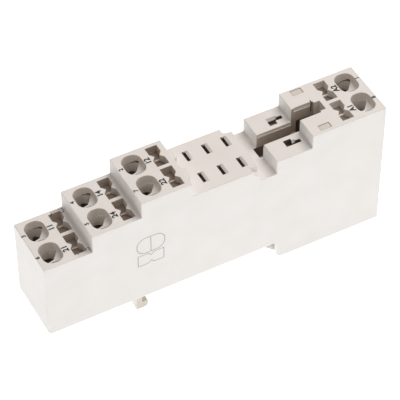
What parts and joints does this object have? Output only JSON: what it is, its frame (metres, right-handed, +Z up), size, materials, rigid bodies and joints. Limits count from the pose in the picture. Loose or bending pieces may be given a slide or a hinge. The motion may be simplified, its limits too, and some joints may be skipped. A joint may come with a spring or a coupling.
{
  "type": "relay socket",
  "caption": "Slim stepped rail socket for a plug-in relay, with spring clamp terminals, a relay seat between the end blocks and a sprung rail latch.",
  "frame": {"origin": "middle of the overall box's bottom face, on the plane that the feet stand on", "axes": "+X from the contact terminals to the coil terminals, +Y across the socket to the row of 11, 14 and 12, +Z up, away from the rail"},
  "size_m": [0.088, 0.016, 0.0368],
  "materials": {
    "housing": "fine satin, light grey",
    "cover": "fine satin, slightly warmer grey",
    "latch": "fine satin, light grey",
    "spring": "bright spring steel",
    "contact": "tinned copper alloy"
  },
  "bodies": {
    "socket": {"housing": "housing", "bottom_cover": "cover", "latch_spring": "spring", "contact_11": "contact", "contact_14": "contact", "contact_12": "contact", "contact_21": "contact", "contact_24": "contact", "contact_22": "contact", "coil_contact_a1": "contact", "coil_contact_a2": "contact", "clamp_11_rear": "spring", "clamp_11_front": "spring", "clamp_14_rear": "spring", "clamp_14_front": "spring", "clamp_12_rear": "spring", "clamp_12_front": "spring", "clamp_21_rear": "spring", "clamp_21_front": "spring", "clamp_24_rear": "spring", "clamp_24_front": "spring", "clamp_22_rear": "spring", "clamp_22_front": "spring", "clamp_a1_rear": "spring", "clamp_a1_front": "spring", "clamp_a2_rear": "spring", "clamp_a2_front": "spring"},
    "latch": {"rail_latch": "latch"}
  },
  "joints": [
    {"name": "latch_slide", "type": "slide", "parent": "socket", "child": "latch", "axis": [1, 0, 0], "range_m": [0, 0.0022], "stiffness_N_per_m": 800, "springref_m": -0.001, "deforming": ["latch_spring"]}
  ]
}
